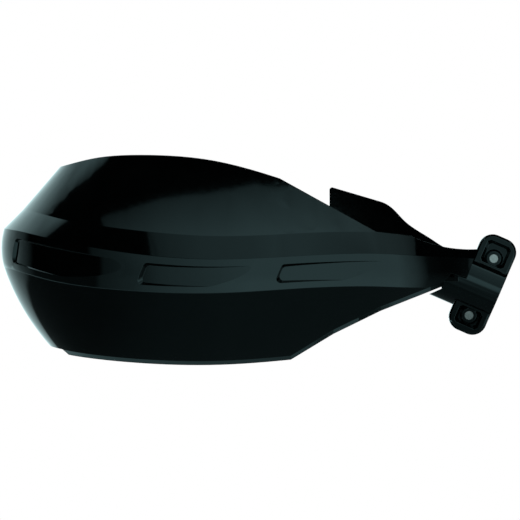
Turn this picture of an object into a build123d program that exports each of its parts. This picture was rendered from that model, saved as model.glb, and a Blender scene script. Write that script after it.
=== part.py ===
from build123d import *
from math import cos, radians, sin, sqrt, tan
import os

os.makedirs("parts", exist_ok=True)

# Millimetres. X runs toward the middle of the vehicle, Y back toward the rider, Z up.
# The origin lies on the handlebar's axis, midway along the clamp.

# Main sizes of the shield: from the bar's axis out to its end, forward to its ridge, and its
# height. Places on the shield and the arm are shares of these.
REACH = 269.6
DEPTH = 88.0
HEIGHT = 116.0

# Handlebar clamp
BAR_DIAMETER = 22.2
BAR_TILT = 23.5
CLAMP_WALL = 4.4
CLAMP_LENGTH = 21.8
CLAMP_GAP = 1.6
EAR_FACE = 9.2
EAR_CORNER = 8.0
EAR_EDGE = 1.2
UPPER_EAR_REACH = 13.0
LOWER_EAR_REACH = 10.0
EAR_RIM = 3.8
EAR_FLOOR = 3.2
POCKET_CORNER = 1.5
POCKET_SLOPE = 0.28
POCKET_NEAR = 13.5
PIPE_REACH = 30.0
PIPE_RELIEF = 0.9
PIPE_TOP = 20.0

# Clamp bolts
BOLT_SPACING = 35.0
BOLT_DIAMETER = 5.0
BOLT_CLEARANCE = 0.3
BOLT_BOSS_WALL = 2.7
BOLT_BOSS_DROP = 1.4
BOLT_BOSS_ROUND = 1.2
BOLT_END_DROP = 0.5
BOLT_FLANGE = 9.6
BOLT_FLANGE_THICKNESS = 1.2
BOLT_HEX = 8.0
BOLT_HEAD = 5.0

# Shell of the shield
WALL = 3.0
CREASE_LEAN_OUTER = 11.0
CREASE_LEAN_INNER = 6.5
UPPER_ANGLE_OUTER = 42.0
UPPER_ANGLE_INNER = 32.0
LOWER_ANGLE_OUTER = 30.6
LOWER_ANGLE_INNER = 28.0
BAND_CROWN_OUTER = 1.6
BAND_CROWN_INNER = 0.5
BELLY_OUTER = 2.7
BELLY_INNER = 1.5
RIM_HEIGHT = 2.3
RIM_START = (-0.875, -0.305)
RIM_RUN_IN = 40.0
END_CORNER = 9.0

# Scoops in the band: start and length as shares of the ridge, and depth at the step
SCOOPS = ((0.153, 0.2, 1.4), (0.402, 0.163, 2.4), (0.618, 0.166, 2.4))
SCOOP_DRAFT = 0.65
SCOOP_SLANT = 5.0
SCOOP_CORNER = 3.0
SCOOP_TOP_MARGIN = 4.2
SCOOP_LOW_MARGIN = 3.6
SCOOP_LOW_FADE = 1.4

# Fixing of the shield to the bracket: places as shares of the ridge
FIXINGS = (0.584, 0.834)
BOSS_DIAMETER = 11.0
BOSS_HEIGHT = 6.0
INSERT_DIAMETER = 7.0
INSERT_LENGTH = 7.0
SCREW_DIAMETER = 5.0
SCREW_CLEARANCE = 0.3
SCREW_GRIP = 6.0
SCREW_HEAD = 9.0
SCREW_HEAD_HEIGHT = 3.2
SCREW_SOCKET = 3.0
SCREW_SOCKET_DEPTH = 1.8
WASHER_DIAMETER = 11.0
WASHER_THICKNESS = 1.0
PLATE = 4.0
ARM_CORNER = 5.0
FIN_CORNER = 1.5
SEAT_DEPTH = 0.5
SEAT_CLEARANCE = 0.4
RIB = 5.0

# Stations along the ridge, from the outer rear end to the clamp: the ridge's x and y, then
# the heights of the upper free edge, the three creases and the lower free edge.
STATION_SHARES = (
    (-0.976, 0.182, 0.552, 0.388, 0.306, 0.112, -0.259),
    (-1.000, -0.114, 0.584, 0.374, 0.284, 0.097, -0.284),
    (-0.972, -0.432, 0.594, 0.367, 0.274, 0.080, -0.296),
    (-0.894, -0.716, 0.626, 0.327, 0.231, 0.030, -0.317),
    (-0.742, -0.932, 0.641, 0.278, 0.167, -0.015, -0.346),
    (-0.556, -1.000, 0.612, 0.247, 0.135, -0.028, -0.356),
    (-0.371, -0.920, 0.509, 0.261, 0.153, -0.004, -0.329),
    (-0.223, -0.727, 0.405, 0.267, 0.162, 0.004, -0.293),
    (-0.111, -0.477, 0.336, 0.254, 0.149, 0.000, -0.250),
    (0.006, -0.161, 0.284, 0.233, 0.133, 0.000, -0.207),
)
STATIONS = [(x * REACH, y * DEPTH, *[z * HEIGHT for z in rows]) for x, y, *rows in STATION_SHARES]
LAST = len(STATIONS) - 1
PLATE_FIRST = 5
PLATE_TOP = 0.62 * HEIGHT
PLATE_BOTTOM = -0.11 * HEIGHT
BEYOND = 2 * REACH
UPWARD = (Align.CENTER, Align.CENTER, Align.MIN)

BAR_RADIUS = BAR_DIAMETER / 2
PIPE_RADIUS = BAR_RADIUS + CLAMP_WALL
UPPER_END = BOLT_SPACING / 2 + UPPER_EAR_REACH
LOWER_END = BOLT_SPACING / 2 + LOWER_EAR_REACH
BOLT_BOSS_RADIUS = BOLT_DIAMETER / 2 + BOLT_BOSS_WALL
BOLT_BOSS_FACE = EAR_FACE - BOLT_BOSS_DROP
BOLT_TIP = BOLT_BOSS_FACE - BOLT_END_DROP
BOSS_END = WALL + BOSS_HEIGHT
PLATE_FRONT = BOSS_END - SEAT_DEPTH
PLATE_BACK = PLATE_FRONT + PLATE
WASHER_SEAT = PLATE_BACK - SEAT_DEPTH
HEAD_SEAT = WASHER_SEAT + WASHER_THICKNESS

ridge = Spline(*[(x, y) for x, y, *_ in STATIONS])
crease2 = Spline(*[(x, y, z) for x, y, _, _, z, _, _ in STATIONS])
crease3 = Spline(*[(x, y, z) for x, y, _, _, _, z, _ in STATIONS])


def front(*places):
    """Points of a front outline from shares of the reach and the height."""
    return [(x * REACH, z * HEIGHT) for x, z in places]


def inward(along):
    return Vector(-along.Y, along.X, 0)


def between(outer, inner, share):
    return outer + (inner - outer) * share


def corners(i, top, bottom):
    """Outer corners of the shell at a station, top to bottom, as (inward, height)."""
    _, _, _, crease1, high, low, _ = STATIONS[i]
    lean = between(CREASE_LEAN_OUTER, CREASE_LEAN_INNER, i / LAST)
    upper = tan(radians(between(UPPER_ANGLE_OUTER, UPPER_ANGLE_INNER, i / LAST)))
    lower = tan(radians(between(LOWER_ANGLE_OUTER, LOWER_ANGLE_INNER, i / LAST)))
    return [
        (lean + (top - crease1) * upper, top),
        (lean, crease1),
        (0, high),
        (0, low),
        ((low - bottom) * lower, bottom),
    ]


def square(a, b):
    """Unit direction inward, square to the side from a to b."""
    length = sqrt((b[0] - a[0]) ** 2 + (b[1] - a[1]) ** 2)
    return ((a[1] - b[1]) / length, (b[0] - a[0]) / length)


def inset(points, depth):
    """The corners moved inward, so that every side moves by depth."""
    sides = [square(a, b) for a, b in zip(points, points[1:])]
    sides = [sides[0]] + sides + [sides[-1]]
    moved = []
    for (w, z), m, n in zip(points, sides, sides[1:]):
        reach = depth / (1 + m[0] * n[0] + m[1] * n[1])
        moved.append((w + reach * (m[0] + n[0]), z + reach * (m[1] + n[1])))
    return moved


def bulge(a, b, rise):
    """Points of a curve from a to b whose middle stands outward by rise."""
    side = square(a, b)
    reach = 2 * rise
    return [a, ((a[0] + b[0]) / 2 - reach * side[0], (a[1] + b[1]) / 2 - reach * side[1]), b]


def station_plane(i):
    x, y, *_ = STATIONS[i]
    along = ridge.tangent_at((x, y, 0))
    return Plane(origin=(x, y, 0), x_dir=inward(along), z_dir=along)


def scoop_section(place, face, near, far_top, far_low, grow, draft, lead):
    """Slanted cut across the band: reaches from near to the far depths behind its face. Below
    the face its sides draw in by draft of the depth, and it leans along the band by lead."""
    high = crease2 @ ((place + SCOOP_SLANT / 2) / crease2.length)
    low = crease3 @ ((place - SCOOP_SLANT / 2) / crease3.length)
    high = high - Vector(0, 0, SCOOP_TOP_MARGIN - grow)
    low = low + Vector(0, 0, SCOOP_LOW_MARGIN - grow)
    along = ridge % (place / ridge.length)
    across = (high - low).normalized()
    ring = []
    for end, depth, side in ((high, near, 1), (high, far_top, 1), (low, far_low, -1), (low, near, -1)):
        slope = along * lead - across * (side * draft)
        ring.append(end + inward(along) * depth + slope * (depth - face))
    return Face(Wire.make_polygon(ring))


def scoop_sections(start, length, depth, behind):
    """Sections of one scoop; those of the bulge behind it are a wall thicker all round."""
    sections = []
    for part in (0.0, 0.25, 0.5, 0.75, 1.0, 1.25):
        place = (start + part * length) * ridge.length
        crown = between(BAND_CROWN_OUTER, BAND_CROWN_INNER, place / ridge.length)
        face = -0.64 * crown
        top = face + depth * (1 - part)
        low = face + depth * (1 - SCOOP_LOW_FADE * part)
        if behind:
            top = max(top, face) + WALL
            low = max(low, face) + WALL
            near = 0.7 * WALL - crown
            sections.append(scoop_section(place - WALL, face, near, top, low, WALL, 0, 0))
        else:
            near = -crown - 2 * WALL
            lead = SCOOP_DRAFT if part == 0 else 0
            sections.append(scoop_section(place, face, near, top, low, 0, SCOOP_DRAFT, lead))
    return sections


def fixing_plane(place):
    """Frame of one screw: on the band's middle, looking inward."""
    along = ridge % place
    middle = (crease2 @ place + crease3 @ place) / 2
    return Plane(origin=middle, x_dir=along, z_dir=inward(along))


fixings = [fixing_plane(place) for place in FIXINGS]

with BuildPart() as shield:
    # Closed sections of the wall, lofted along the ridge
    for i in range(len(STATIONS)):
        crown = between(BAND_CROWN_OUTER, BAND_CROWN_INNER, i / LAST)
        belly = between(BELLY_OUTER, BELLY_INNER, i / LAST)
        outer = corners(i, STATIONS[i][2], STATIONS[i][-1])
        inner = inset(outer, WALL)
        with BuildSketch(station_plane(i)):
            with BuildLine():
                Polyline(inner[2], inner[1], inner[0], outer[0], outer[1], outer[2])
                Bezier(*bulge(outer[2], outer[3], crown))
                Bezier(*bulge(outer[3], outer[4], belly))
                Line(outer[4], inner[4])
                Bezier(*reversed(bulge(inner[3], inner[4], belly)))
                Bezier(*reversed(bulge(inner[2], inner[3], crown)))
            make_face()
    loft()

    # Upper edge cut back in line with the fin, then along the tongue to its end
    with BuildSketch(Plane.XZ):
        with BuildLine():
            Polyline(*front((-0.52, 0.652), (-0.223, 0.269), (-0.149, 0.248)))
            Spline(*front((-0.149, 0.248), (-0.074, 0.193), (-0.009, 0.184)))
            Polyline(*front((-0.009, 0.184), (-0.031, 0.045), (0.2, -0.1), (0.2, 0.9)))
            Polyline(*front((0.2, 0.9), (-0.52, 0.9), (-0.52, 0.652)))
        make_face()
    extrude(amount=BEYOND, both=True, mode=Mode.SUBTRACT)

    # Lower edge cut back from the corner up to the tongue
    with BuildSketch(Plane.XZ):
        with BuildLine():
            Polyline(*front((-0.031, 0.045), (-0.065, 0.066), (-0.08, 0.026), (-0.213, -0.095)))
            Polyline(*front((-0.213, -0.095), (-0.311, -0.206), (-0.456, -0.41), (-0.456, -0.8)))
            Polyline(*front((-0.456, -0.8), (0.2, -0.8), (0.2, 0.045), (-0.031, 0.045)))
        make_face()
    extrude(amount=BEYOND, both=True, mode=Mode.SUBTRACT)

    # Corners of the outer rear end
    end = shield.faces().filter_by(GeomType.PLANE).sort_by_distance(station_plane(0).origin)[0]
    fillet([edge for edge in end.edges() if edge.length < 2 * WALL], END_CORNER)

    # Upright rim below the front part of the lower edge and along the cut
    edges = shield.faces().sort_by(Axis.Z)[:1]
    for face in shield.faces().filter_by(GeomType.PLANE):
        down = face.normal_at()
        if down.Z < -0.5 and abs(down.Y) < 0.01 and face.center().X < -0.075 * REACH:
            edges.append(face)
    x, z = front(RIM_START)[0]
    above = Location((x, 0, z), (0, RIM_RUN_IN, 0))
    for face in edges:
        with BuildPart(mode=Mode.PRIVATE) as strip:
            extrude(face, amount=RIM_HEIGHT, dir=(0, 0, -1))
            with Locations(above):
                Box(BEYOND, BEYOND, BEYOND, align=UPWARD, mode=Mode.INTERSECT)
        add(strip.part)

    # Scoops, each with its bulge behind
    for start, length, depth in SCOOPS:
        loft(scoop_sections(start, length, depth, True))
    for start, length, depth in SCOOPS:
        with BuildPart(mode=Mode.PRIVATE) as scoop:
            loft(scoop_sections(start, length, depth, False))
            ends = scoop.faces().filter_by(GeomType.PLANE)
            step = ends.sort_by_distance(ridge @ start)[0]
            fillet([edge for edge in step.edges() if abs((edge % 0.5).Z) < 0.5], SCOOP_CORNER)
        add(scoop.part, mode=Mode.SUBTRACT)

    # Screw bosses behind the band
    for plane in fixings:
        with BuildSketch(plane.offset(WALL - 1)):
            Circle(BOSS_DIAMETER / 2)
        extrude(amount=BOSS_HEIGHT + 1)
        with BuildSketch(plane.offset(BOSS_END)):
            Circle(INSERT_DIAMETER / 2)
        extrude(amount=-INSERT_LENGTH, mode=Mode.SUBTRACT)

shield.part.label = "shield"
export_step(shield.part, "parts/shield.step")

tilt = radians(BAR_TILT)
bar_along = Vector(cos(tilt), 0, -sin(tilt))
bar_up = Vector(sin(tilt), 0, cos(tilt))
# Looking at the clamp from the front: x along the bar, y across it, z forward
bar_front = Plane(origin=(0, 0, 0), x_dir=bar_along, z_dir=(0, -1, 0))
# Square to the bar: x forward, z along the bar
bar_across = Plane(origin=(0, 0, 0), x_dir=(0, -1, 0), z_dir=bar_along)
# Through the bar: x along it, y back
bar_flat = Plane(origin=(0, 0, 0), x_dir=bar_along, z_dir=bar_up)


def half_pipe(start, end, side):
    """Half of the clamp's pipe on the front (1) or the rear (-1) of the bar."""
    with BuildPart() as half:
        with BuildSketch(bar_across.offset(start)):
            Circle(PIPE_RADIUS)
            with Locations((side * (CLAMP_GAP / 2 + PIPE_RADIUS), 0)):
                Rectangle(2 * PIPE_RADIUS, 3 * PIPE_RADIUS, mode=Mode.INTERSECT)
        extrude(amount=end - start)
    return half.part


def ears(side):
    """The flat ears on the front or the rear half, before holes and pockets."""
    with BuildPart() as pair:
        with BuildSketch(bar_front.offset(side * CLAMP_GAP / 2)):
            with Locations((0, (UPPER_END - LOWER_END) / 2)):
                RectangleRounded(CLAMP_LENGTH, UPPER_END + LOWER_END, EAR_CORNER)
        extrude(amount=side * (EAR_FACE - CLAMP_GAP / 2))
        face = pair.faces().sort_by(Axis.Y, reverse=side < 0)[0]
        chamfer(face.edges(), EAR_EDGE)
    return pair.part


def bar(start, end, radius):
    """A round bar on the clamp's axis."""
    with BuildPart() as rod:
        with BuildSketch(bar_across.offset(start)):
            Circle(radius)
        extrude(amount=end - start)
    return rod.part


bolts = [(0, BOLT_SPACING / 2), (0, -BOLT_SPACING / 2)]

with BuildPart() as bracket:
    # Arm plate and fin: follow the shield's inside at a distance
    for i in range(PLATE_FIRST, len(STATIONS)):
        face = corners(i, PLATE_TOP, PLATE_BOTTOM)[:3]
        face.append((0, PLATE_BOTTOM))
        near = inset(face, PLATE_FRONT)
        far = inset(face, PLATE_BACK)
        with BuildSketch(station_plane(i)):
            with BuildLine():
                Polyline(*near, *reversed(far), close=True)
            make_face()
    loft()
    with BuildSketch(Plane.XZ) as arm:
        with BuildLine():
            Polyline(*front((-0.078, 0.026), (-0.512, 0.026), (-0.512, 0.216), (-0.319, 0.216)))
            Polyline(*front((-0.319, 0.216), (-0.319, 0.488), (-0.213, 0.416)))
            foot = (-0.074, 0.188)
            slope = front((-0.213, 0.416), (-0.185, 0.378), (-0.162, 0.322), (-0.108, 0.237), foot)
            Spline(*slope, tangents=((1, -0.28), (1, -0.5)))
            Polyline(*front(foot, (-0.074, 0.172), (0, 0.172), (0, 0.026), (-0.078, 0.026)))
        make_face()
        fillet(arm.vertices().sort_by_distance(front((-0.319, 0.488))[0])[0], FIN_CORNER)
        for end in front((-0.512, 0.026), (-0.512, 0.216)):
            fillet(arm.vertices().sort_by_distance(end)[0], ARM_CORNER)
    extrude(amount=BEYOND, both=True, mode=Mode.INTERSECT)

    # Half pipe; the part that runs on ends below the shield's lower edge and the tongue's top
    with BuildPart(mode=Mode.PRIVATE) as run_on:
        add(half_pipe(-PIPE_REACH, -CLAMP_LENGTH / 2, 1))
        with Locations((0, 0, PIPE_TOP)):
            Box(BEYOND, BEYOND, BEYOND, align=UPWARD, mode=Mode.SUBTRACT)
        with BuildSketch(Plane.XZ):
            with BuildLine():
                Polyline(*front((-0.2, -0.13), (-0.084, -0.008), (-0.084, 0.5), (-0.2, 0.5)), close=True)
            make_face()
        extrude(amount=BEYOND, both=True, mode=Mode.SUBTRACT)
    add(run_on.part)
    add(half_pipe(-CLAMP_LENGTH / 2, CLAMP_LENGTH / 2, 1))
    add(ears(1))

    # Rib from the half pipe out to the arm plate
    spine = []
    for spot in (0.891, 0.933, 0.964):
        spine.append(ridge @ spot + inward(ridge % spot) * (PLATE_FRONT + PLATE / 2))
    outline = [(point.X / cos(tilt), point.Y) for point in spine]
    with BuildSketch(bar_flat.offset(-RIB / 2)):
        with BuildLine():
            Polyline(*outline, (outline[0][0], outline[-1][1]), close=True)
        make_face()
    extrude(amount=RIB)

    # Pockets in the ears, with a bolt boss in each
    for v, end in zip((1, -1), (UPPER_END, LOWER_END)):
        with BuildPart(mode=Mode.PRIVATE) as pocket:
            for level in (EAR_FACE + 1, CLAMP_GAP / 2 + EAR_FLOOR):
                grow = 2 * POCKET_SLOPE * (level - EAR_FACE)
                depth = end - EAR_RIM - POCKET_NEAR
                with BuildSketch(bar_front.offset(level)) as outline:
                    with Locations((0, v * (POCKET_NEAR + depth / 2))):
                        Rectangle(CLAMP_LENGTH - 2 * EAR_RIM + grow, depth + grow)
                    chamfer(outline.vertices(), POCKET_CORNER)
            loft(ruled=True)
        add(pocket.part, mode=Mode.SUBTRACT)
    for place in bolts:
        with BuildPart(mode=Mode.PRIVATE) as boss:
            with BuildSketch(bar_front.offset(CLAMP_GAP / 2)):
                with Locations(place):
                    Circle(BOLT_BOSS_RADIUS)
            extrude(amount=BOLT_BOSS_FACE - CLAMP_GAP / 2)
            chamfer(boss.edges().filter_by(GeomType.CIRCLE).sort_by(Axis.Y)[0], BOLT_BOSS_ROUND)
        add(boss.part)
    with BuildSketch(bar_front):
        with Locations(*bolts):
            Circle(BOLT_DIAMETER / 2)
    extrude(amount=2 * EAR_FACE, mode=Mode.SUBTRACT)

    # Seat of the bar, eased where the pipe runs on
    add(bar(-CLAMP_LENGTH / 2, CLAMP_LENGTH, BAR_RADIUS), mode=Mode.SUBTRACT)
    add(bar(-2 * PIPE_REACH, -CLAMP_LENGTH / 2, BAR_RADIUS + PIPE_RELIEF), mode=Mode.SUBTRACT)

    # Seats and holes of the shield's screws
    for plane in fixings:
        with BuildSketch(plane.offset(BOSS_END)):
            Circle(BOSS_DIAMETER / 2 + SEAT_CLEARANCE)
        extrude(amount=-BOSS_HEIGHT, mode=Mode.SUBTRACT)
        with BuildSketch(plane.offset(WASHER_SEAT)):
            Circle(WASHER_DIAMETER / 2 + SEAT_CLEARANCE)
        extrude(amount=BOSS_HEIGHT, mode=Mode.SUBTRACT)
        with BuildSketch(plane):
            Circle(SCREW_DIAMETER / 2 + SCREW_CLEARANCE)
        extrude(amount=HEAD_SEAT, mode=Mode.SUBTRACT)

bracket.part.label = "bracket"
export_step(bracket.part, "parts/bracket.step")

with BuildPart() as clamp_cap:
    add(half_pipe(-CLAMP_LENGTH / 2, CLAMP_LENGTH / 2, -1))
    add(ears(-1))
    with BuildSketch(bar_front):
        with Locations(*bolts):
            Circle(BOLT_DIAMETER / 2 + BOLT_CLEARANCE)
    extrude(amount=-2 * EAR_FACE, mode=Mode.SUBTRACT)
    add(bar(-CLAMP_LENGTH, CLAMP_LENGTH, BAR_RADIUS), mode=Mode.SUBTRACT)

clamp_cap.part.label = "clamp_cap"
export_step(clamp_cap.part, "parts/clamp_cap.step")

with BuildPart() as clamp_bolts:
    with BuildSketch(bar_front.offset(-EAR_FACE)):
        with Locations(*bolts):
            Circle(BOLT_DIAMETER / 2)
    extrude(amount=EAR_FACE + BOLT_TIP)
    with BuildSketch(bar_front.offset(-EAR_FACE)):
        with Locations(*bolts):
            Circle(BOLT_FLANGE / 2)
    extrude(amount=-BOLT_FLANGE_THICKNESS)
    with BuildSketch(bar_front.offset(-EAR_FACE - BOLT_FLANGE_THICKNESS)):
        with Locations(*bolts):
            RegularPolygon(BOLT_HEX / 2, 6, major_radius=False)
    extrude(amount=BOLT_FLANGE_THICKNESS - BOLT_HEAD)

clamp_bolts.part.label = "clamp_bolts"
export_step(clamp_bolts.part, "parts/clamp_bolts.step")

with BuildPart() as shield_screws:
    for plane in fixings:
        with BuildSketch(plane.offset(BOSS_END - SCREW_GRIP)):
            Circle(SCREW_DIAMETER / 2)
        extrude(amount=HEAD_SEAT - BOSS_END + SCREW_GRIP)
        with BuildSketch(plane.offset(HEAD_SEAT)):
            Circle(SCREW_HEAD / 2)
        extrude(amount=SCREW_HEAD_HEIGHT)
        with BuildSketch(plane.offset(HEAD_SEAT + SCREW_HEAD_HEIGHT)):
            RegularPolygon(SCREW_SOCKET / 2, 6, major_radius=False)
        extrude(amount=-SCREW_SOCKET_DEPTH, mode=Mode.SUBTRACT)

shield_screws.part.label = "shield_screws"
export_step(shield_screws.part, "parts/shield_screws.step")

with BuildPart() as screw_washers:
    for plane in fixings:
        with BuildSketch(plane.offset(WASHER_SEAT)):
            Circle(WASHER_DIAMETER / 2)
            Circle(SCREW_DIAMETER / 2 + SCREW_CLEARANCE, mode=Mode.SUBTRACT)
        extrude(amount=WASHER_THICKNESS)

screw_washers.part.label = "screw_washers"
export_step(screw_washers.part, "parts/screw_washers.step")

with BuildPart() as boss_inserts:
    for plane in fixings:
        with BuildSketch(plane.offset(BOSS_END)):
            Circle(INSERT_DIAMETER / 2)
            Circle(SCREW_DIAMETER / 2, mode=Mode.SUBTRACT)
        extrude(amount=-INSERT_LENGTH)

boss_inserts.part.label = "boss_inserts"
export_step(boss_inserts.part, "parts/boss_inserts.step")
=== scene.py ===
import math

import bpy
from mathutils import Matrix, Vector


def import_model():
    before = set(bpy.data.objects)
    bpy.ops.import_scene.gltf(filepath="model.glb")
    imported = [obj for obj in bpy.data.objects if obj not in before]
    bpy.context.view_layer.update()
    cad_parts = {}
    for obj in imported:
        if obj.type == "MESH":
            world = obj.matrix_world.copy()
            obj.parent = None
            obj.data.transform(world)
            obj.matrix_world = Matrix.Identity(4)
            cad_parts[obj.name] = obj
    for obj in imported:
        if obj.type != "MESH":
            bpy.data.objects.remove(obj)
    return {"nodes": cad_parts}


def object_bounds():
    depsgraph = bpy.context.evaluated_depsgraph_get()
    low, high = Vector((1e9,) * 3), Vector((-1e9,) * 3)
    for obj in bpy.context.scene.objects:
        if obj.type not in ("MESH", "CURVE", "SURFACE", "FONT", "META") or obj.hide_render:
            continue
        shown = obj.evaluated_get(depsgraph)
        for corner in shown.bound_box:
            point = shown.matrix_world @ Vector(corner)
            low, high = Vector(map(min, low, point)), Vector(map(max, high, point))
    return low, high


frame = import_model()
cad_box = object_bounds()

# Metres, in the CAD's frame: X toward the middle of the vehicle, Y back toward the rider, Z up.
MM = 0.001

# Tint of the plastics' gloss, and the slight cast that the studio's light has of its own
GLOSS_TINT = (0.72, 0.97, 1.0, 1)
CAST = (0.72, 0.98, 1.0, 1)
WHITE = (1, 1, 1, 1)


# ---------------------------------------------------------------- nodes

def empty_material(name):
    """New material with only its output, and the output's socket."""
    material = bpy.data.materials.new(name)
    material.use_nodes = True
    tree = material.node_tree
    tree.nodes.clear()
    output = tree.nodes.new("ShaderNodeOutputMaterial")
    return material, tree, output.inputs["Surface"]


def maths(tree, operation, *values):
    """Result of a maths node; each value is a number or another node's socket."""
    node = tree.nodes.new("ShaderNodeMath")
    node.operation = operation
    for socket, value in zip(node.inputs, values):
        if isinstance(value, bpy.types.NodeSocket):
            tree.links.new(value, socket)
        else:
            socket.default_value = value
    return node.outputs["Value"]


def mapped(tree, value, start, end, low=0, high=1):
    """Maps start to end onto low to high, with no more beyond the ends."""
    node = tree.nodes.new("ShaderNodeMapRange")
    node.inputs["From Min"].default_value = start
    node.inputs["From Max"].default_value = end
    node.inputs["To Min"].default_value = low
    node.inputs["To Max"].default_value = high
    tree.links.new(value, node.inputs["Value"])
    return node.outputs["Result"]


def axes(tree, vector):
    split = tree.nodes.new("ShaderNodeSeparateXYZ")
    tree.links.new(vector, split.inputs["Vector"])
    return split.outputs


def along(tree, value, stops):
    """Strength along a value from -1 to 1, straight between (place, strength) stops."""
    node = tree.nodes.new("ShaderNodeFloatCurve")
    tree.links.new(mapped(tree, value, -1, 1), node.inputs["Value"])
    curve = node.mapping.curves[0]
    while len(curve.points) < len(stops):
        curve.points.new(0.5, 0.5)
    for point, (place, strength) in zip(curve.points, stops):
        point.location = ((place + 1) / 2, strength)
        point.handle_type = "VECTOR"
    node.mapping.use_clip = False
    node.mapping.update()
    return node.outputs["Value"]


# ---------------------------------------------------------------- materials

# Noise lies mostly between these values
NOISE_LOW = 0.3
NOISE_HIGH = 0.7
BEVEL_SAMPLES = 8

# Noises: scale in waves per metre, detail and roughness
CLOUDS = (60, 3, 0.6)
GLOSS_PATCHES = (320, 3, 0.55)

PLASTIC_BUMP = 0.25
METAL_BUMP = 0.4
METAL_BUMP_HEIGHT = 0.02 * MM
METAL_ROUNDING = 0.2 * MM
METAL_ROUGH_SPREAD = 0.07

# The rim is where upright faces lie below this height; its faces lean down by this much
RIM_TOP = -0.034
RIM_LEAN = 0.26
RIM_FADE = 1 * MM
# Upward part of the normal where a face stops and starts to count as upright
RIM_LEANING = -0.06
RIM_UPRIGHT = -0.03


def noise(tree, scale, detail, rough):
    """Noise over the object's own coordinates."""
    coordinates = tree.nodes.new("ShaderNodeTexCoord")
    texture = tree.nodes.new("ShaderNodeTexNoise")
    texture.inputs["Scale"].default_value = scale
    texture.inputs["Detail"].default_value = detail
    texture.inputs["Roughness"].default_value = rough
    tree.links.new(coordinates.outputs["Object"], texture.inputs["Vector"])
    return texture.outputs["Fac"]


def shaded(tree, value, dark, light):
    """Colour from dark to light by a noise."""
    node = tree.nodes.new("ShaderNodeValToRGB")
    ends = zip(node.color_ramp.elements, (NOISE_LOW, NOISE_HIGH), (dark, light))
    for element, place, colour in ends:
        element.position = place
        element.color = (*colour, 1)
    tree.links.new(value, node.inputs["Fac"])
    return node.outputs["Color"]


def bump(tree, height, distance, strength, normal):
    node = tree.nodes.new("ShaderNodeBump")
    node.inputs["Strength"].default_value = strength
    node.inputs["Distance"].default_value = distance
    tree.links.new(height, node.inputs["Height"])
    tree.links.new(normal, node.inputs["Normal"])
    return node.outputs["Normal"]


def rounded(tree, radius):
    """Normals of slightly rounded edges."""
    node = tree.nodes.new("ShaderNodeBevel")
    node.samples = BEVEL_SAMPLES
    node.inputs["Radius"].default_value = radius
    return node.outputs["Normal"]


def turned_under(tree, normal):
    """Leans the normals of the rim down, as on a rim that turns under."""
    geometry = tree.nodes.new("ShaderNodeNewGeometry")
    height = axes(tree, geometry.outputs["Position"])["Z"]
    upward = axes(tree, geometry.outputs["Normal"])["Z"]
    low = mapped(tree, height, RIM_TOP + RIM_FADE, RIM_TOP)
    upright = mapped(tree, upward, RIM_LEANING, RIM_UPRIGHT)
    down = tree.nodes.new("ShaderNodeVectorMath")
    down.operation = "MULTIPLY_ADD"
    tree.links.new(maths(tree, "MULTIPLY", low, upright), down.inputs[0])
    down.inputs[1].default_value = (0, 0, -RIM_LEAN)
    tree.links.new(normal, down.inputs[2])
    unit = tree.nodes.new("ShaderNodeVectorMath")
    unit.operation = "NORMALIZE"
    tree.links.new(down.outputs["Vector"], unit.inputs[0])
    return unit.outputs["Vector"]


def principled(name, shade, dark, light):
    """Material whose colour follows a noise; also gives that noise's value."""
    material, tree, surface = empty_material(name)
    shader = tree.nodes.new("ShaderNodeBsdfPrincipled")
    tree.links.new(shader.outputs["BSDF"], surface)
    value = noise(tree, *shade)
    tree.links.new(shaded(tree, value, dark, light), shader.inputs["Base Color"])
    return material, tree, shader, value


def uneven_gloss(tree, shader, patches, low, high):
    gloss = mapped(tree, noise(tree, *patches), NOISE_LOW, NOISE_HIGH, low, high)
    tree.links.new(gloss, shader.inputs["Roughness"])


def plastic(name, dark, light, rough, grain, grain_height, rounding, ior, rim=False):
    """Black moulded plastic: faint cloudiness, uneven gloss and a fine surface."""
    material, tree, shader, _ = principled(name, CLOUDS, dark, light)
    uneven_gloss(tree, shader, GLOSS_PATCHES, *rough)
    shader.inputs["IOR"].default_value = ior
    shader.inputs["Specular Tint"].default_value = GLOSS_TINT
    edges = rounded(tree, rounding)
    if rim:
        edges = turned_under(tree, edges)
    surface = bump(tree, noise(tree, grain, 2, 0.5), grain_height, PLASTIC_BUMP, edges)
    tree.links.new(surface, shader.inputs["Normal"])
    return material


def metal(name, dark, light, rough, grain):
    """Plain metal with a fine grain in its colour, gloss and surface."""
    material, tree, shader, value = principled(name, (grain, 4, 0.65), dark, light)
    shader.inputs["Metallic"].default_value = 1.0
    uneven_gloss(tree, shader, (2 * grain, 3, 0.6),
                 rough - METAL_ROUGH_SPREAD, rough + METAL_ROUGH_SPREAD)
    edges = rounded(tree, METAL_ROUNDING)
    surface = bump(tree, value, METAL_BUMP_HEIGHT, METAL_BUMP, edges)
    tree.links.new(surface, shader.inputs["Normal"])
    return material


GLOSS = plastic("gloss_plastic", (0.0003, 0.0005, 0.0005), (0.0007, 0.0010, 0.0010),
                (0.030, 0.050), 240, 0.005 * MM, 0.30 * MM, 1.5, rim=True)
SATIN = plastic("satin_plastic", (0.0004, 0.0006, 0.0006), (0.0009, 0.0013, 0.0013),
                (0.05, 0.08), 1500, 0.006 * MM, 0.40 * MM, 1.56)
STEEL = metal("zinc_steel", (0.40, 0.42, 0.41), (0.54, 0.57, 0.55), 0.42, 900)
SCREW_STEEL = metal("dark_steel", (0.16, 0.17, 0.18), (0.30, 0.31, 0.32), 0.36, 800)
BRASS = metal("brass", (0.55, 0.38, 0.14), (0.72, 0.53, 0.24), 0.30, 800)

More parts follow.
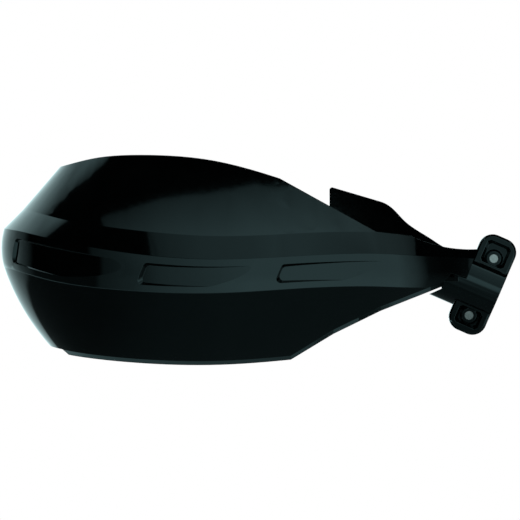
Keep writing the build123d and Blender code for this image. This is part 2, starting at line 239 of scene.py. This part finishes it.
for node, material in (
    ("shield", GLOSS),
    ("bracket", SATIN),
    ("clamp_cap", SATIN),
    ("clamp_bolts", STEEL),
    ("shield_screws", SCREW_STEEL),
    ("screw_washers", SCREW_STEEL),
    ("boss_inserts", BRASS),
):
    thing = frame["nodes"][node]
    thing.data.materials.clear()
    thing.data.materials.append(material)


# ---------------------------------------------------------------- studio

PANEL_HEIGHT = 0.55
# Card in front of the clamp: its place, its sides, how dim it is, and the slant (0 is straight on)
# from which looks start to pass through it until all do
FLAG_Y = -0.08
FLAG_SIDES = (-0.06, 0.03)
FLAG_STRENGTH = 0.07
FLAG_SLANT = 0.28
FLAG_CLEAR = 0.38

BACKDROP_STRENGTH = 1.5
# Just under 2, so that the lean of a face is never divided by zero
LEAN_GUARD = 1.999

# Floor below the object's lowest point, its reach to the sides and to the front, and to the back
FLOOR_DROP = 0.12
FLOOR_REACH = 3.0
FLOOR_BACK = 1.2
FLOOR_COLOUR = (0.82, 0.82, 0.82, 1)
FLOOR_GLOW = 0.72


def stage_mesh(name, points, faces, material):
    """Mesh of the studio, which isn't part of the object."""
    mesh = bpy.data.meshes.new(name)
    mesh.from_pydata(points, [], faces)
    mesh.materials.append(material)
    thing = bpy.data.objects.new(name, mesh)
    bpy.context.collection.objects.link(thing)
    return thing


def unseen_card(name, points, faces, levels, material):
    """Card that only shows in reflections. Its material reads a level at each point."""
    thing = stage_mesh(name, points, faces, material)
    thing.data.attributes.new("level", "FLOAT", "POINT").data.foreach_set("value", levels)
    thing.visible_camera = False
    thing.visible_shadow = False
    return thing


def point_level(tree):
    node = tree.nodes.new("ShaderNodeAttribute")
    node.attribute_name = "level"
    return node.outputs["Fac"]


def emission(tree, colour):
    node = tree.nodes.new("ShaderNodeEmission")
    node.inputs["Color"].default_value = colour
    return node


def mixed(tree, share, first, second):
    node = tree.nodes.new("ShaderNodeMixShader")
    tree.links.new(share, node.inputs["Fac"])
    tree.links.new(first, node.inputs[1])
    tree.links.new(second, node.inputs[2])
    return node.outputs["Shader"]


def panel(name, edge, steps):
    """Level light panel above the object. Each row of edge is a point of its sharp edge, the way
    it runs on from there, and the strengths at the steps along that way."""
    points = []
    levels = []
    for x, y, way_x, way_y, *strengths in edge:
        for step, strength in zip(steps, strengths):
            points.append((x + way_x * step, y + way_y * step, PANEL_HEIGHT))
            levels.append(strength)
    count = len(steps)
    faces = []
    for i in range(len(edge) - 1):
        for j in range(count - 1):
            k = i * count + j
            faces.append((k, k + 1, k + count + 1, k + count))
    material, tree, surface = empty_material(name)
    light = emission(tree, CAST)
    tree.links.new(point_level(tree), light.inputs["Strength"])
    tree.links.new(light.outputs["Emission"], surface)
    unseen_card(name, points, faces, levels, material)


# Front panel: its back edge gives the boundary across the upper panel of the shield
panel("front_panel", [
    (-0.424, -0.133, 0.69, -0.72, 0.12, 0.18, 0.14, 0.10, 0.10),
    (-0.381, -0.154, 0.60, -0.80, 0.15, 0.28, 0.20, 0.15, 0.15),
    (-0.345, -0.169, 0.53, -0.85, 0.17, 0.36, 0.25, 0.19, 0.19),
    (-0.297, -0.183, 0.42, -0.91, 0.22, 0.46, 0.32, 0.22, 0.20),
    (-0.235, -0.196, 0.27, -0.96, 0.28, 0.58, 0.39, 0.26, 0.21),
    (-0.180, -0.208, 0.10, -1.00, 0.32, 0.70, 0.45, 0.30, 0.25),
    (-0.128, -0.215, 0.05, -1.00, 0.32, 0.76, 0.47, 0.32, 0.27),
    (-0.060, -0.215, 0.00, -1.00, 0.32, 0.84, 0.50, 0.35, 0.30),
    (0.001, -0.210, 0.00, -1.00, 0.45, 0.85, 0.58, 0.37, 0.30),
    (0.030, -0.203, 0.00, -1.00, 0.40, 0.84, 0.54, 0.38, 0.30),
    (0.055, -0.195, 0.00, -1.00, 0.42, 0.82, 0.56, 0.38, 0.30),
    (0.083, -0.185, 0.00, -1.00, 0.43, 0.80, 0.56, 0.38, 0.30),
    (0.110, -0.175, 0.02, -1.00, 0.40, 0.82, 0.55, 0.38, 0.30),
    (0.140, -0.163, 0.05, -1.00, 0.48, 0.80, 0.52, 0.38, 0.30),
    (0.170, -0.150, 0.10, -1.00, 0.48, 0.78, 0.48, 0.38, 0.30),
    (0.250, -0.111, 0.15, -1.00, 0.66, 0.70, 0.42, 0.36, 0.30),
    (0.290, -0.086, 0.16, -1.00, 0.64, 0.66, 0.40, 0.36, 0.30),
    (0.326, -0.062, 0.18, -1.00, 0.60, 0.60, 0.38, 0.36, 0.30),
    (0.400, -0.018, 0.20, -1.00, 0.42, 0.42, 0.36, 0.34, 0.30),
    (0.500, 0.055, 0.30, -0.95, 0.26, 0.30, 0.30, 0.30, 0.30),
    (0.545, 0.080, 0.35, -0.94, 0.14, 0.18, 0.18, 0.15, 0.15),
], (0, 0.03, 0.09, 0.35, 1.0))
# Rear panel: runs back to the white backdrop and lights the outer end
panel("rear_panel", [
    (-0.440, -0.066, 0.00, 1.00, 0.22, 1.45, 2.20, 2.40, 2.40, 2.00),
    (-0.472, -0.048, 0.00, 1.00, 0.22, 1.40, 2.20, 2.40, 2.40, 2.00),
    (-0.516, -0.013, 0.02, 1.00, 0.22, 1.10, 1.90, 2.20, 2.10, 1.80),
    (-0.561, 0.035, 0.05, 1.00, 0.22, 0.95, 1.50, 1.75, 1.85, 1.60),
    (-0.598, 0.080, 0.08, 1.00, 0.22, 0.80, 1.20, 1.42, 1.50, 1.50),
    (-0.636, 0.133, 0.10, 1.00, 0.22, 0.60, 0.96, 1.36, 1.60, 1.60),
    (-0.900, 0.500, 0.10, 1.00, 0.30, 0.60, 0.95, 1.30, 1.50, 1.50),
    (-2.200, 1.500, 0.10, 1.00, 0.30, 0.60, 0.95, 1.30, 1.50, 1.50),
], (0, 0.03, 0.08, 0.2, 0.5, 3.0))


def flag(name, rows):
    """Dim upright card in front of the clamp, which keeps the light off the underside of its
    saddle. Each row is a height and the share of the light that the card takes there."""
    points = [(x, FLAG_Y, z) for z, _ in rows for x in FLAG_SIDES]
    shares = [share for _, share in rows for _ in FLAG_SIDES]
    faces = [(2 * i, 2 * i + 1, 2 * i + 3, 2 * i + 2) for i in range(len(rows) - 1)]
    material, tree, surface = empty_material(name)
    slant = tree.nodes.new("ShaderNodeLayerWeight").outputs["Facing"]
    straight = mapped(tree, slant, FLAG_CLEAR, FLAG_SLANT)
    share = maths(tree, "MULTIPLY", point_level(tree), straight)
    clear = tree.nodes.new("ShaderNodeBsdfTransparent")
    dim = emission(tree, CAST)
    dim.inputs["Strength"].default_value = FLAG_STRENGTH
    tree.links.new(mixed(tree, share, clear.outputs["BSDF"], dim.outputs["Emission"]), surface)
    thing = unseen_card(name, points, faces, shares, material)
    thing.visible_diffuse = False


flag("saddle_flag", [
    (-0.100, 0.90), (-0.016, 0.90), (-0.0125, 0.82), (-0.006, 0.70), (0, 0.50), (0.006, 0.25),
    (0.012, 0),
])


def world():
    """White background. Reflections see a studio with white backdrops behind the object on both
    sides, a grey front that fades to the left and a dim floor that is lighter far off."""
    studio = bpy.data.worlds.new("studio")
    bpy.context.scene.world = studio
    studio.use_nodes = True
    tree = studio.node_tree
    tree.nodes.clear()
    output = tree.nodes.new("ShaderNodeOutputWorld")
    path = tree.nodes.new("ShaderNodeLightPath")
    x, y, z = axes(tree, tree.nodes.new("ShaderNodeTexCoord").outputs["Generated"])

    def lit(*curves):
        """Product of strengths, each along one part of the direction."""
        level = along(tree, *curves[0])
        for curve in curves[1:]:
            level = maths(tree, "MULTIPLY", level, along(tree, *curve))
        return level

    left_backdrop = lit(
        (y, [(-1, 0), (0.2, 0), (0.39, 0.17), (0.53, 0.27), (0.7, 0.47), (0.88, 0.8), (1, 1)]),
        (z, [(-1, 0), (-0.347, 0), (-0.32, 0.5), (-0.3, 0.6), (-0.25, 0.66), (0, 0.8), (0.2, 1),
             (0.5, 1), (0.65, 0), (1, 0)]),
        (x, [(-1, 1), (-0.2, 1), (0, 0.25), (0.3, 0.03), (1, 0.03)]))
    right_backdrop = lit(
        (y, [(-1, 0), (0.45, 0), (0.6, 0.3), (0.8, 0.8), (1, 1)]),
        (z, [(-1, 0), (-0.4, 0), (-0.2, 0.7), (0.1, 1), (0.6, 1), (1, 0.3)]),
        (x, [(-1, 0), (-0.25, 0), (0, 0.7), (0.25, 1), (1, 1)]))
    # The last curve is a dim spot round the camera
    front = lit(
        (y, [(-1, 1), (-0.32, 1), (-0.2, 0.55), (-0.1, 0.05), (0, 0), (1, 0)]),
        (z, [(-1, 0), (-0.4, 0), (-0.35, 1), (0.35, 1), (0.5, 0), (1, 0)]),
        (x, [(-1, 0), (-0.7, 0), (-0.665, 0.13), (-0.47, 0.27), (-0.38, 0.39), (-0.16, 0.55),
             (0.22, 0.86), (0.5, 0.87), (0.93, 0.82), (1, 0.8)]),
        (y, [(-1, 0.4), (-0.9995, 0.4), (-0.998, 1), (1, 1)]))
    near_floor = lit(
        (z, [(-1, 1), (-0.2, 1), (0, 0), (1, 0)]),
        (x, [(-1, 0.04), (-0.6, 0.045), (-0.28, 0.09), (0.1, 0.115), (1, 0.115)]))
    # The far floor lies where a face that leans a little down mirrors a look from the front
    twice = maths(tree, "SUBTRACT", 2, maths(tree, "MULTIPLY", y, LEAN_GUARD))
    lean = maths(tree, "DIVIDE", z, maths(tree, "SQRT", twice))
    far_floor = lit(
        (lean, [(-1, 0), (-0.3, 0), (-0.285, 1), (-0.215, 1), (-0.19, 0), (1, 0)]),
        (x, [(-1, 1.4), (-0.94, 1.4), (-0.87, 1.02), (-0.74, 0.95), (-0.58, 0.78), (-0.4, 0.74),
             (-0.08, 0.56), (0.22, 0.5), (0.36, 0.42), (0.7, 0.3), (1, 0.2)]))

    level = maths(tree, "ADD", left_backdrop, right_backdrop)
    level = maths(tree, "MULTIPLY", level, BACKDROP_STRENGTH)
    for part in (front, near_floor, far_floor):
        level = maths(tree, "ADD", level, part)
    room = tree.nodes.new("ShaderNodeBackground")
    room.inputs["Color"].default_value = CAST
    tree.links.new(level, room.inputs["Strength"])
    white = tree.nodes.new("ShaderNodeBackground")
    white.inputs["Color"].default_value = WHITE
    seen = mixed(tree, path.outputs["Is Camera Ray"], room.outputs["Background"],
                 white.outputs["Background"])
    tree.links.new(seen, output.inputs["Surface"])


world()


def floor():
    """Pale floor below the object; white to the camera apart from the object's shadow."""
    material, tree, surface = empty_material("floor")
    matt = tree.nodes.new("ShaderNodeBsdfDiffuse")
    matt.inputs["Color"].default_value = FLOOR_COLOUR
    glow = emission(tree, WHITE)
    glow.inputs["Strength"].default_value = FLOOR_GLOW
    both = tree.nodes.new("ShaderNodeAddShader")
    tree.links.new(matt.outputs["BSDF"], both.inputs[0])
    tree.links.new(glow.outputs["Emission"], both.inputs[1])
    path = tree.nodes.new("ShaderNodeLightPath")
    seen = mixed(tree, path.outputs["Is Camera Ray"], matt.outputs["BSDF"], both.outputs["Shader"])
    tree.links.new(seen, surface)
    low = cad_box[0][2] - FLOOR_DROP
    corners = [(-FLOOR_REACH, -FLOOR_REACH, low), (FLOOR_REACH, -FLOOR_REACH, low),
               (FLOOR_REACH, FLOOR_BACK, low), (-FLOOR_REACH, FLOOR_BACK, low)]
    thing = stage_mesh("floor", corners, [(0, 1, 2, 3)], material)
    thing.visible_glossy = False


floor()

LAMP_AIM = Vector((-0.125, -0.04, 0.01))
LAMP_SIZE = 1.0


def soft_lamp(name, place, watts):
    """Round soft lamp that looks at the middle of the object."""
    lamp = bpy.data.lights.new(name, "AREA")
    lamp.shape = "DISK"
    lamp.size = LAMP_SIZE
    lamp.energy = watts
    thing = bpy.data.objects.new(name, lamp)
    thing.location = place
    thing.rotation_euler = (LAMP_AIM - Vector(place)).to_track_quat("-Z", "Y").to_euler()
    thing.visible_glossy = False
    bpy.context.collection.objects.link(thing)


soft_lamp("key", (-0.9, -1.3, 1.3), 10)
soft_lamp("fill", (0.9, -1.2, 0.5), 4)


# ---------------------------------------------------------------- camera

# The photograph looks straight at the front from far away: 292.5 mm across the picture
FRAME_WIDTH = 0.2925
DISTANCE = 8.0
SENSOR = 36.0
AIM = Vector((-0.1251, -0.040, 0.01524))

camera = bpy.data.cameras.new("camera")
camera.sensor_width = SENSOR
camera.lens = SENSOR * DISTANCE / FRAME_WIDTH
camera.clip_start = 0.1
camera.clip_end = 60.0
viewer = bpy.data.objects.new("camera", camera)
viewer.location = AIM - Vector((0, DISTANCE, 0))
viewer.rotation_euler = (math.pi / 2, 0, 0)
bpy.context.collection.objects.link(viewer)
bpy.context.scene.camera = viewer

bpy.context.scene.view_settings.view_transform = "Standard"
